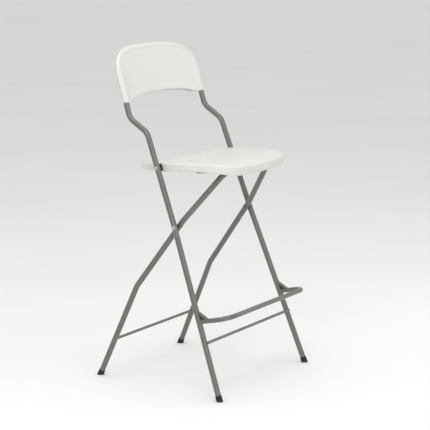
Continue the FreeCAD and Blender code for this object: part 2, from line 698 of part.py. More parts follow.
def back_outline(inset):
    """Front-view outline in the backrest's own plane, z along the uprights."""
    i = inset
    h = d("back_height")
    low_pts = [Vector(-186 + i, 0, -1 + i), Vector(-150, 0, 12 + i), Vector(-90, 0, 20.5 + i),
               Vector(0, 0, 23.5 + i), Vector(90, 0, 20.5 + i), Vector(150, 0, 12 + i), Vector(186 - i, 0, -1 + i)]
    lowc = Part.BSplineCurve()
    lowc.interpolate(low_pts)
    pr = [Vector(239 - i, 0, -3.5 + i), Vector(240 - i, 0, 40), Vector(238 - i, 0, 82), Vector(230 - i, 0, 115),
          Vector(213.5 - i, 0, 145 - i * 0.3), Vector(188 - i * 0.8, 0, 167.5 - i * 0.7), Vector(148 - i * 0.4, 0, 183 - i),
          Vector(88, 0, 192 - i), Vector(0, 0, h - 1 - i)]
    pl = [Vector(-p.x, 0, p.z) for p in pr[:-1]][::-1]
    topc = Part.BSplineCurve()
    topc.interpolate(pr + pl)
    a = Vector(205 + i * 0.2, 0, -3.5 + i)
    b = Vector(-205 - i * 0.2, 0, -3.5 + i)
    edges = [lowc.toShape(),
             Part.LineSegment(Vector(186 - i, 0, -1 + i), a).toShape(),
             Part.LineSegment(a, Vector(239 - i, 0, -3.5 + i)).toShape(),
             topc.toShape(),
             Part.LineSegment(Vector(-239 + i, 0, -3.5 + i), b).toShape(),
             Part.LineSegment(b, Vector(-186 + i, 0, -1 + i)).toShape()]
    return Part.Wire(Part.__sortEdges__(edges))


def back_block(grow, sock_r, inset):
    w = back_section(grow, sock_r)
    w.translate(Vector(0, 0, -20))
    slab = Part.Face(w).extrude(Vector(0, 0, 260))
    o = back_outline(inset)
    o.translate(Vector(0, -80, 0))
    win = Part.Face(o).extrude(Vector(0, 160, 0))
    return slab.common(win)


back = back_block(0.0, d("back_socket_r"), 0.0)


back_void = back_block(-d("back_skin"), d("back_socket_r"), d("back_rim"))
# the sockets' own walls stay between the sealed space and the uprights
walls = []
for side in (1.0, -1.0):
    walls.append(Part.makeCylinder(R + 3.0, 160, Vector(side * d("socket_x"), 0, -20), Vector(0, 0, 1)))
back_void = back_void.cut(walls[0]).cut(walls[1])
void_parts = sorted(back_void.Solids, key=lambda s: -s.Volume)
back_obj = doc.addObject("Part::Feature", "backrest_solid")
back_obj.Shape = to_world(back)
back_void_obj = doc.addObject("Part::Feature", "backrest_void")
back_void_obj.Shape = to_world(Part.makeCompound([s for s in void_parts if s.Volume > 20000.0]))
doc.recompute()


# ---------------------------------------------------------------------------
# screws
# ---------------------------------------------------------------------------
def screw(name, point, axis, length):
    """Pan head screw: head's underside at point, shank along axis."""
    hr, ht, sr = d("screw_head_od") / 2, d("screw_head_thick"), d("screw_od") / 2
    prof = [(0, -ht), (hr * 0.55, -ht * 0.96), (hr * 0.85, -ht * 0.72), (hr, -ht * 0.3), (hr, 0),
            (sr, 0), (sr, length - 2), (sr * 0.4, length), (0, length)]
    return turned(name, prof, point, axis)


# two in each backrest socket, driven from behind into the upright
back_screws = []
for word, side in SIDES:
    for k, h in enumerate((24.0, 70.0)):
        seat_pt = Vector(side * d("socket_x"), 0, 0)
        local = Vector(side * d("socket_x"), d("back_socket_r") - 0.05, h)
        point = Rotation(Vector(1, 0, 0), -back_tilt).multVec(Vector(0, local.y, local.z)) + SOCK
        point.x = local.x
        axis = Rotation(Vector(1, 0, 0), -back_tilt).multVec(Vector(0, -1, 0))
        back_screws.append(screw("backrest_screw_%s_%d" % (word, k), point, axis, d("screw_length")))
doc.recompute()
node(group("backrest_screws", back_screws), "backrest_screws")

# guide lips and rails to the panel, driven from below
seat_screws = []


def up_screw(name, x, y, thick):
    tiltv = Vector(0, d("seat_rise"), 1).normalize()
    z = panel_low(y) - thick - 0.05
    return screw(name, Vector(x, y, z), tiltv, d("screw_length"))


for word, side in SIDES:
    for k, y in enumerate((-150.0, -6.0)):
        for j, s_ in enumerate((-1.0, 1.0)):
            x = side * d("guide_x") + s_ * (d("guide_half") + d("guide_lip") / 2 - 0.3)
            seat_screws.append(up_screw("guide_screw_%s_%d_%d" % (word, k, j), x, y, d("guide_wall")))
    for k, y in enumerate((-163.0, -121.0)):
        x = side * (d("rail_x") - d("rail_width") / 2 - 1.2)
        seat_screws.append(up_screw("rail_screw_%s_%d" % (word, k), x, y, d("rail_thick")))
doc.recompute()
node(group("seat_screws", seat_screws), "seat_screws")

for word, side in SIDES:
    mine = [s_ for s_ in back_screws if word in s_.Name]
    node(cut("front_leg_tube_%s" % word, front_tube[word], [leg_bore, hinge_bore] + mine),
         "front_leg_tube_%s" % word)
    node(cut("slide_guide_%s" % word, guides[word], [s_ for s_ in seat_screws if "guide_screw_%s" % word in s_.Name]),
         "slide_guide_%s" % word)
    node(cut("seat_rail_%s" % word, rails[word], [s_ for s_ in seat_screws if "rail_screw_%s" % word in s_.Name]),
         "seat_rail_%s" % word)
node(cut("seat_shell", seat_cut, blocks + [hinge_bore] + seat_screws), "seat_shell")
node(cut("backrest_shell", back_obj, [back_void_obj, front_outer["left"], front_outer["right"]] + back_screws),
     "backrest_shell")

# ---------------------------------------------------------------------------
# check and write
# ---------------------------------------------------------------------------
doc.recompute()
bad = [o.Label for o in doc.Objects if ("Invalid" in o.State or "Error" in o.State)]
if bad:
    raise RuntimeError("failed objects: %s" % bad)
for obj in NODES:
    if obj.Shape.isNull() or not obj.Shape.isValid():
        raise RuntimeError("bad shape: %s" % obj.Label)
    if not obj.Shape.Solids:
        raise RuntimeError("no solid: %s" % obj.Label)
os.makedirs("parts", exist_ok=True)
for old in os.listdir("parts"):
    if old.endswith(".step"):
        os.remove(os.path.join("parts", old))
for obj in NODES:
    obj.Shape.exportStep(os.path.join("parts", obj.Label + ".step"))
    bb = obj.Shape.optimalBoundingBox(True, False)
    print("%-26s solids %d vol %9.1f  x %7.1f..%7.1f y %7.1f..%7.1f z %7.1f..%7.1f" % (
        obj.Label, len(obj.Shape.Solids), obj.Shape.Volume, bb.XMin, bb.XMax, bb.YMin, bb.YMax, bb.ZMin, bb.ZMax))
print("nodes", len(NODES))
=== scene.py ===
import math
import random

import bmesh
import bpy
import numpy as np
from mathutils import Matrix, Vector
from mathutils.geometry import delaunay_2d_cdt


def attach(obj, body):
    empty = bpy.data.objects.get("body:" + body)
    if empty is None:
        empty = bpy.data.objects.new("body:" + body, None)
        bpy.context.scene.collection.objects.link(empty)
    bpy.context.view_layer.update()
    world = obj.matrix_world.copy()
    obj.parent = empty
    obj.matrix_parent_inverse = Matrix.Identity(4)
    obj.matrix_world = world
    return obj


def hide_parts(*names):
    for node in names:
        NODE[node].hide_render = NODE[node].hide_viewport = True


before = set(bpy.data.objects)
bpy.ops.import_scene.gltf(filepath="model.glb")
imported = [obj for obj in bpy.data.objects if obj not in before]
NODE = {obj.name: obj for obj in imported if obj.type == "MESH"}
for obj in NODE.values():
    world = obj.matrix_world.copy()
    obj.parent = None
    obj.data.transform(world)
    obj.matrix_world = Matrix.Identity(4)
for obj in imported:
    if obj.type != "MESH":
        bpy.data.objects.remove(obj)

random.seed(7)
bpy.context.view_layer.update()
MM = 0.001


# ---------------------------------------------------------------------------
# camera
# ---------------------------------------------------------------------------
cam_data = bpy.data.cameras.new("camera")
cam = bpy.data.objects.new("camera", cam_data)
bpy.context.scene.collection.objects.link(cam)
right = Vector((0.5511014, -0.8344371, -0.0013724))
up = Vector((0.1604043, 0.1043242, 0.9815228))
ahead = Vector((0.8188759, 0.5411387, -0.1913405))
cam.matrix_world = Matrix((
    (right.x, up.x, -ahead.x, -4.40807),
    (right.y, up.y, -ahead.y, -2.97141),
    (right.z, up.z, -ahead.z, 1.58789),
    (0, 0, 0, 1)))
cam_data.sensor_width = 36.0
cam_data.sensor_fit = "HORIZONTAL"
cam_data.lens = 1570.864 / 430.0 * 36.0
cam_data.clip_start = 0.1
cam_data.clip_end = 120.0
bpy.context.scene.camera = cam


# ---------------------------------------------------------------------------
# materials
# ---------------------------------------------------------------------------
class Mat:
    """A principled material with a few helpers for its node tree."""

    def __init__(self, name):
        self.m = bpy.data.materials.new(name)
        self.m.use_nodes = True
        self.t = self.m.node_tree
        self.b = self.t.nodes["Principled BSDF"]
        self.co = self.t.nodes.new("ShaderNodeTexCoord").outputs["Object"]

    def set(self, **kw):
        for k, v in kw.items():
            self.b.inputs[k.replace("_", " ")].default_value = v
        return self

    def node(self, kind, **kw):
        n = self.t.nodes.new(kind)
        for k, v in kw.items():
            setattr(n, k, v)
        return n

    def link(self, a, b):
        self.t.links.new(a, b)

    def noise(self, scale, detail=3.0, rough=0.5, distort=0.0, vec=None):
        n = self.node("ShaderNodeTexNoise")
        n.inputs["Scale"].default_value = scale
        n.inputs["Detail"].default_value = detail
        n.inputs["Roughness"].default_value = rough
        n.inputs["Distortion"].default_value = distort
        self.link(vec or self.co, n.inputs["Vector"])
        return n.outputs["Fac"]

    def voronoi(self, scale, feature="F1", vec=None):
        n = self.node("ShaderNodeTexVoronoi", feature=feature)
        n.inputs["Scale"].default_value = scale
        self.link(vec or self.co, n.inputs["Vector"])
        return n.outputs["Distance"]

    def remap(self, value, a, b, lo=0.0, hi=1.0, smooth=True):
        n = self.node("ShaderNodeMapRange")
        n.interpolation_type = "SMOOTHSTEP" if smooth else "LINEAR"
        n.inputs["From Min"].default_value = a
        n.inputs["From Max"].default_value = b
        n.inputs["To Min"].default_value = lo
        n.inputs["To Max"].default_value = hi
        self.link(value, n.inputs["Value"])
        return n.outputs["Result"]

    def mix(self, fac, a, b):
        n = self.node("ShaderNodeMix", data_type="RGBA")
        for key, v in (("A", a), ("B", b)):
            s = [i for i in n.inputs if i.name == key and i.type == "RGBA"][0]
            if isinstance(v, (tuple, list)):
                s.default_value = (*v, 1.0) if len(v) == 3 else v
            else:
                self.link(v, s)
        f = [i for i in n.inputs if i.name == "Factor" and i.type == "VALUE"][0]
        if isinstance(fac, float):
            f.default_value = fac
        else:
            self.link(fac, f)
        return [o for o in n.outputs if o.type == "RGBA"][0]

    def math(self, op, a, b=None, c=None):
        n = self.node("ShaderNodeMath", operation=op)
        for i, v in enumerate((a, b, c)):
            if v is None:
                continue
            if isinstance(v, (int, float)):
                n.inputs[i].default_value = v
            else:
                self.link(v, n.inputs[i])
        return n.outputs[0]

    def axis(self, which):
        n = self.node("ShaderNodeSeparateXYZ")
        self.link(self.co, n.inputs[0])
        return n.outputs[which]

    def bump(self, height, strength, distance, normal=None):
        n = self.node("ShaderNodeBump")
        n.inputs["Strength"].default_value = strength
        n.inputs["Distance"].default_value = distance
        self.link(height, n.inputs["Height"])
        if normal is not None:
            self.link(normal, n.inputs["Normal"])
        return n.outputs["Normal"]

    def out(self, color=None, rough=None, normal=None):
        if color is not None:
            self.link(color, self.b.inputs["Base Color"])
        if rough is not None:
            self.link(rough, self.b.inputs["Roughness"])
        if normal is not None:
            self.link(normal, self.b.inputs["Normal"])
        return self.m


def paint_material(name, base=(0.140, 0.142, 0.126)):
    """Satin powder coat: orange peel, faint mottling, scuffs mostly near the floor."""
    m = Mat(name)
    m.set(Metallic=0.25, Specular_IOR_Level=0.6, Coat_Weight=0.35, Coat_Roughness=0.20)
    big = m.noise(9.0, 3, 0.6)
    fine = m.noise(420.0, 2, 0.5)
    tone = m.mix(m.remap(big, 0.3, 0.7), tuple(0.93 * c for c in base), tuple(1.06 * c for c in base))
    speck = m.remap(m.noise(1500.0, 1, 0.5), 0.62, 0.72)
    tone = m.mix(m.math("MULTIPLY", speck, 0.22), tone, tuple(min(1, 1.7 * c) for c in base))
    # rubbed places: small, patchy, mostly low down
    z = m.axis("Z")
    low = m.remap(z, 0.0, 0.16, 1.0, 0.0)
    patch = m.remap(m.noise(38.0, 5, 0.68, 0.4), 0.60, 0.68)
    streak = m.remap(m.noise(130.0, 4, 0.7), 0.55, 0.66)
    wear = m.math("MULTIPLY", m.math("MULTIPLY", patch, streak), m.math("ADD", m.math("MULTIPLY", low, 0.75), 0.10))
    tone = m.mix(wear, tone, (0.36, 0.355, 0.335))
    rough = m.remap(m.noise(60.0, 4, 0.6), 0.25, 0.75, 0.30, 0.42)
    rough = m.math("ADD", rough, m.math("MULTIPLY", wear, 0.16))
    n = m.bump(fine, 0.30, 0.00012)
    n = m.bump(m.noise(1400.0, 1, 0.5), 0.16, 0.00005, n)
    return m.out(tone, rough, n)


def plastic_material(name, base=(0.665, 0.655, 0.622)):
    """Moulded polyethylene: fine grain, slow waviness, faint mottling and scratches."""
    m = Mat(name)
    m.set(Specular_IOR_Level=0.42, Subsurface_Weight=0.0)
    tone = m.mix(m.remap(m.noise(5.0, 4, 0.6), 0.3, 0.7), tuple(0.972 * c for c in base), tuple(1.018 * c for c in base))
    tone = m.mix(m.math("MULTIPLY", m.remap(m.noise(70.0, 4, 0.65), 0.56, 0.74), 0.10), tone, (0.66, 0.63, 0.57))
    grain = m.voronoi(1150.0, "SMOOTH_F1")
    pebble = m.noise(620.0, 3, 0.6)
    wave = m.noise(14.0, 2, 0.5)
    # fine hairline scratches, stretched along X and along Y
    mp = m.node("ShaderNodeMapping")
    mp.inputs["Scale"].default_value = (26.0, 700.0, 700.0)
    m.link(m.co, mp.inputs["Vector"])
    hair = m.remap(m.noise(1.0, 3, 0.6, 0.5, mp.outputs["Vector"]), 0.665, 0.70)
    rough = m.remap(pebble, 0.3, 0.7, 0.40, 0.50)
    rough = m.math("ADD", rough, m.math("MULTIPLY", hair, 0.10))
    n = m.bump(wave, 0.20, 0.0016)
    n = m.bump(grain, 0.20, 0.00010, n)
    n = m.bump(pebble, 0.24, 0.00012, n)
    n = m.bump(hair, 0.10, -0.00004, n)
    return m.out(tone, rough, n)


def rubber_material(name):
    m = Mat(name)
    m.set(Specular_IOR_Level=0.35)
    low = m.remap(m.axis("Z"), 0.0, 0.010, 1.0, 0.0)
    dust = m.math("MULTIPLY", m.remap(m.noise(160.0, 5, 0.7), 0.42, 0.66), m.math("ADD", m.math("MULTIPLY", low, 0.45), 0.10))
    tone = m.mix(m.remap(m.noise(45.0, 3, 0.5), 0.3, 0.7), (0.014, 0.014, 0.013), (0.022, 0.022, 0.020))
    tone = m.mix(dust, tone, (0.12, 0.115, 0.105))
    rough = m.remap(m.noise(300.0, 3, 0.6), 0.3, 0.7, 0.62, 0.80)
    n = m.bump(m.noise(900.0, 3, 0.6), 0.35, 0.00015)
    return m.out(tone, rough, n)


def nylon_material(name):
    m = Mat(name)
    m.set(Specular_IOR_Level=0.45)
    tone = m.mix(m.remap(m.noise(60.0, 3, 0.5), 0.3, 0.7), (0.022, 0.022, 0.021), (0.034, 0.034, 0.032))
    rub = m.remap(m.noise(240.0, 4, 0.7), 0.60, 0.70)
    tone = m.mix(m.math("MULTIPLY", rub, 0.4), tone, (0.085, 0.085, 0.08))
    rough = m.remap(m.noise(500.0, 3, 0.6), 0.3, 0.7, 0.42, 0.58)
    n = m.bump(m.voronoi(1300.0, "SMOOTH_F1"), 0.22, 0.00008)
    return m.out(tone, rough, n)


def steel_material(name, dark=1.0):
    """Zinc plated steel with faint rolling lines and spots."""
    m = Mat(name)
    m.set(Metallic=1.0)
    base = tuple(dark * c for c in (0.58, 0.575, 0.56))
    tone = m.mix(m.remap(m.voronoi(260.0), 0.0, 0.9), tuple(0.86 * c for c in base), base)
    tone = m.mix(m.math("MULTIPLY", m.remap(m.noise(90.0, 4, 0.7), 0.58, 0.72), 0.35), tone, tuple(0.62 * c for c in base))
    mp = m.node("ShaderNodeMapping")
    mp.inputs["Scale"].default_value = (1800.0, 60.0, 1800.0)
    m.link(m.co, mp.inputs["Vector"])
    lines = m.noise(1.0, 3, 0.6, 0.0, mp.outputs["Vector"])
    rough = m.remap(m.noise(160.0, 4, 0.6), 0.3, 0.7, 0.27, 0.42)
    n = m.bump(lines, 0.12, 0.00004)
    n = m.bump(m.noise(700.0, 2, 0.5), 0.14, 0.00008, n)
    return m.out(tone, rough, n)


PAINT = paint_material("powder_coat")
PLASTIC = plastic_material("moulded_white")
RUBBER = rubber_material("rubber_black")
NYLON = nylon_material("nylon_black")
STEEL = steel_material("zinc_steel")
# A darker copy of the powder coat for the slide guides and seat rails that sit under the seat; its darker base is
# painted shade.
SHADED_SHEET_PAINT = paint_material("powder_coat_sheet_painted_shade", base=(0.125, 0.127, 0.114))

LOOK = {"frame_paint": PAINT, "white_plastic": PLASTIC, "black_rubber": RUBBER,
        "black_nylon": NYLON, "plated_steel": STEEL}


def dress(obj, mat):
    obj.data.materials.clear()
    obj.data.materials.append(mat)


for n in ("front_leg_tube_left", "front_leg_tube_right", "rear_frame_tube", "front_crossbar", "rear_crossbar",
          "footrest_tube", "footrest_brace_left", "footrest_brace_right"):
    dress(NODE[n], PAINT)
# painted shade: the guides and rails under the seat get the darker copy of the powder coat
for n in ("slide_guide_left", "slide_guide_right", "seat_rail_left", "seat_rail_right"):
    dress(NODE[n], SHADED_SHEET_PAINT)
for n in ("front_foot_cap_left", "front_foot_cap_right", "rear_foot_cap_left", "rear_foot_cap_right"):
    dress(NODE[n], RUBBER)
# The footrest inserts' black nylon is painted shade: the black triangle between brace and leg stands in for the
# shadow on the recessed web of the bracket. The other pieces in this list are real black nylon.
for n in ("seat_hinge_block_left", "seat_hinge_block_right", "slide_sleeves", "leg_pivot_spacers",
          "footrest_insert_left", "footrest_insert_right"):
    dress(NODE[n], NYLON)
for n in ("leg_pivot_rivets", "seat_hinge_rivets", "seat_screws", "backrest_screws"):
    dress(NODE[n], STEEL)
for n in ("seat_shell", "backrest_shell"):
    dress(NODE[n], PLASTIC)


def ease(node, width, angle=32):
    """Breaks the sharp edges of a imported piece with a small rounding."""
    b = NODE[node].modifiers.new("eased_edges", "BEVEL")
    b.width = width * MM
    b.segments = 2
    b.limit_method = "ANGLE"
    b.angle_limit = math.radians(angle)
    b.use_clamp_overlap = True
    b.harden_normals = False


for side in ("left", "right"):
    ease("footrest_brace_" + side, 0.5)
    ease("footrest_insert_" + side, 0.6)
    ease("slide_guide_" + side, 0.3)
    ease("seat_rail_" + side, 0.3)
    ease("seat_hinge_block_" + side, 0.8)
ease("leg_pivot_spacers", 0.5)
ease("slide_sleeves", 0.5)


# ---------------------------------------------------------------------------
# mesh helpers (inputs in millimetres)
# ---------------------------------------------------------------------------
def piece(name, verts, faces, body, mat, slot=None, smooth=True, sharp=None):
    me = bpy.data.meshes.new(name)
    me.from_pydata([tuple(float(c) * MM for c in v) for v in verts], [], [tuple(int(i) for i in f) for f in faces])
    me.validate()
    bm = bmesh.new()
    bm.from_mesh(me)
    bmesh.ops.remove_doubles(bm, verts=bm.verts, dist=2e-6)
    bmesh.ops.recalc_face_normals(bm, faces=bm.faces)
    if sharp is not None:
        for e in bm.edges:
            if len(e.link_faces) == 2 and e.calc_face_angle() > math.radians(sharp):
                e.smooth = False
    for f in bm.faces:
        f.smooth = smooth
    bm.to_mesh(me)
    bm.free()
    me.materials.append(mat)
    o = bpy.data.objects.new(name, me)
    bpy.context.scene.collection.objects.link(o)
    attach(o, body)
    return o


def basis(axis):
    a = Vector(axis).normalized()
    h = Vector((0, 0, 1)) if abs(a.z) < 0.9 else Vector((1, 0, 0))
    u = (h - a * h.dot(a)).normalized()
    return a, u, a.cross(u)


def revolve_data(profile, centre, axis, seg=48):
    """profile: (radius, distance) pairs, first and last may lie on the axis."""
    a, u, v = basis(axis)
    c = Vector(centre)
    verts, faces, rows = [], [], []
    for r, t in profile:
        if r < 1e-6:
            rows.append([len(verts)])
            verts.append(c + a * t)
        else:
            row = []
            for k in range(seg):
                th = 2 * math.pi * k / seg
                row.append(len(verts))
                verts.append(c + a * t + (u * math.cos(th) + v * math.sin(th)) * r)
            rows.append(row)
    for p, q in zip(rows, rows[1:]):
        for k in range(seg):
            k2 = (k + 1) % seg
            if len(p) == 1 and len(q) == 1:
                continue
            if len(p) == 1:
                faces.append((p[0], q[k], q[k2]))
            elif len(q) == 1:
                faces.append((p[k], q[0], p[k2]))
            else:
                faces.append((p[k], q[k], q[k2], p[k2]))
    return verts, faces


def join_data(parts):
    verts, faces = [], []
    for v, f in parts:
        off = len(verts)
        verts += list(v)
        faces += [tuple(i + off for i in x) for x in f]
    return verts, faces


def smoothstep(t):
    t = np.clip(t, 0.0, 1.0)
    return t * t * (3 - 2 * t)


def resample(loop, n):
    """Closed loop of points at n equal steps along its length."""
    p = np.vstack([loop, loop[:1]])
    seg = np.linalg.norm(np.diff(p, axis=0), axis=1)
    s = np.concatenate([[0], np.cumsum(seg)])
    t = np.linspace(0, s[-1], n, endpoint=False)
    return np.stack([np.interp(t, s, p[:, k]) for k in range(p.shape[1])], 1)


def blur_loop(loop, sigma):
    """Gaussian smoothing of a closed, evenly spaced loop; sigma in steps, one per point."""
    n = len(loop)
    out = np.zeros_like(loop)
    reach = int(max(sigma) * 3) + 1
    off = np.arange(-reach, reach + 1)
    for i in range(n):
        w = np.exp(-0.5 * (off / max(sigma[i], 1e-3)) ** 2)
        w /= w.sum()
        out[i] = (loop[(i + off) % n] * w[:, None]).sum(0)
    return out


def catmull(points, per=14):
    p = [np.array(q, float) for q in points]
    p = [2 * p[0] - p[1]] + p + [2 * p[-1] - p[-2]]
    out = []
    for i in range(1, len(p) - 2):
        for k in range(per):
            t = k / per
            out.append(0.5 * ((2 * p[i]) + (-p[i - 1] + p[i + 1]) * t
                              + (2 * p[i - 1] - 5 * p[i] + 4 * p[i + 1] - p[i + 2]) * t * t
                              + (-p[i - 1] + 3 * p[i] - 3 * p[i + 1] + p[i + 2]) * t ** 3))
    out.append(p[-2])
    return np.array(out)


def loop_normals(loop):
    d = np.roll(loop, -1, 0) - np.roll(loop, 1, 0)
    d /= np.linalg.norm(d, axis=1)[:, None]
    area = 0.5 * np.sum(loop[:, 0] * np.roll(loop[:, 1], -1) - np.roll(loop[:, 0], -1) * loop[:, 1])
    n = np.stack([d[:, 1], -d[:, 0]], 1)
    return n if area > 0 else -n


def inside(loop, pts):
    x, y = pts[:, 0], pts[:, 1]
    res = np.zeros(len(pts), bool)
    a, b = loop, np.roll(loop, -1, 0)
    for (x1, y1), (x2, y2) in zip(a, b):
        hit = ((y1 > y) != (y2 > y)) & (x < (x2 - x1) * (y - y1) / (y2 - y1 + 1e-12) + x1)
        res ^= hit
    return res


def dist_to(line, pts, closed=True):
    a = line if closed else line[:-1]
    b = np.roll(line, -1, 0) if closed else line[1:]
    best = np.full(len(pts), 1e9)
    for p, q in zip(a, b):
        d = q - p
        t = np.clip(((pts - p) @ d) / max(d @ d, 1e-12), 0, 1)
        best = np.minimum(best, np.linalg.norm(pts - (p + t[:, None] * d), axis=1))
    return best


def fill(loop, lines, step, clear):
    """Triangles inside a closed loop, with extra point rows; returns (points, triangles, index of the loop's points)."""
    lo, hi = loop.min(0), loop.max(0)
    gx = np.arange(lo[0] + step / 2, hi[0], step)
    gy = np.arange(lo[1] + step / 2, hi[1], step * 0.866)
    g = []
    for k, y in enumerate(gy):
        for x in gx:
            g.append((x + (step / 2 if k % 2 else 0), y))
    g = np.array(g)
    g = g[inside(loop, g)]
    g = g[dist_to(loop, g) > clear]
    for l in lines:
        g = g[dist_to(l, g, closed=False) > clear * 0.6]
    pts = [Vector(p) for p in loop]
    edges = [(i, (i + 1) % len(loop)) for i in range(len(loop))]
    for l in lines:
        base = len(pts)
        pts += [Vector(p) for p in l]
        edges += [(base + i, base + i + 1) for i in range(len(l) - 1)]
    pts += [Vector(p) for p in g]
    v, e, f, vo, eo, fo = delaunay_2d_cdt(pts, edges, [], 1, 1e-4)
    at = {}
    for new, olds in enumerate(vo):
        for o in olds:
            at[o] = new
    return np.array([(p.x, p.y) for p in v]), [tuple(t) for t in f], [at[i] for i in range(len(loop))]


# ---------------------------------------------------------------------------
# moulded seat
# ---------------------------------------------------------------------------
def arc3(a, m, b, n=10):
    """Points on the circle through three points, from a to b."""
    ax, ay = a
    bx, by = m
    cx, cy = b
    dd = 2 * (ax * (by - cy) + bx * (cy - ay) + cx * (ay - by))
    ux = ((ax * ax + ay * ay) * (by - cy) + (bx * bx + by * by) * (cy - ay) + (cx * cx + cy * cy) * (ay - by)) / dd
    uy = ((ax * ax + ay * ay) * (cx - bx) + (bx * bx + by * by) * (ax - cx) + (cx * cx + cy * cy) * (bx - ax)) / dd
    r = math.hypot(ax - ux, ay - uy)
    t0, tm, t1 = (math.atan2(p[1] - uy, p[0] - ux) for p in (a, m, b))
    for sgn in (1, -1):
        s1 = (t1 - t0) * sgn % (2 * math.pi)
        sm = (tm - t0) * sgn % (2 * math.pi)
        if sm <= s1:
            return np.array([(ux + r * math.cos(t0 + sgn * s1 * k / n), uy + r * math.sin(t0 + sgn * s1 * k / n))
                             for k in range(n + 1)])
    return np.array([a, m, b])


def seat_top(y):
    y = np.asarray(y, float)
    z = 761.6 - 0.052 * y
    return z - 16.0 * (np.clip(-165.0 - y, 0, None) / 83.0) ** 2


def seat_low(y):
    return np.interp(y, [-252.0, -235.0, -213.0, -180.0, -150.0, -120.0, -90.0, -57.0, -20.0, 15.0, 45.0, 94.0, 99.0,
                         103.0, 107.0, 110.0],
                     [727.5, 732.3, 737.3, 740.0, 740.7, 740.6, 739.4, 737.0, 733.8, 730.8, 730.0, 729.8, 731.5,
                      735.0, 740.0, 742.0])


SIDE_PLAN = [(205.5, 25.0), (207.5, -30.0), (208.0, -85.0), (205.5, -140.0), (199.0, -182.0), (185.5, -212.0),
             (160.0, -234.0), (122.0, -245.2), (64.0, -249.8), (0.0, -251.0)]


def half_outline(ears=True):
    rx, ry, ey = 200, 50, 109
    if ears:
        p4 = (rx - 2, ey - 7)
        parts = [np.array([(0, ry), (60, ry), (120, ry), (168, ry)]), arc3((168, ry), (177, ry + 4), (180, ry + 12)),
                 np.array([(180, ry + 12), (183, ey - 7)]), arc3((183, ey - 7), ((183 + rx - 2) / 2, ey), p4)]
    else:
        p4 = (rx, ry - 14)
        parts = [np.array([(0, ry), (60, ry), (120, ry), (rx - 14, ry)]), arc3((rx - 14, ry), (rx - 4, ry - 4), p4)]
    run = catmull([p4] + SIDE_PLAN + [(-64.0, -249.8)])[:-14]
    return np.vstack([parts[0]] + [q[1:] for q in parts[1:]] + [run[1:]])


def whole(half):
    other = half[1:-1][::-1] * np.array([-1, 1])
    return np.vstack([half, other])


def seat_outline(n=880):
    fine = resample(whole(half_outline()), 1500)
    sig = np.where(fine[:, 1] < -120, 5.0, np.where(fine[:, 1] < 20, 6.0, 2.4))
    sig = blur_loop(np.stack([sig, sig], 1), np.full(1500, 12.0))[:, 0]
    return resample(blur_loop(fine, sig), n)


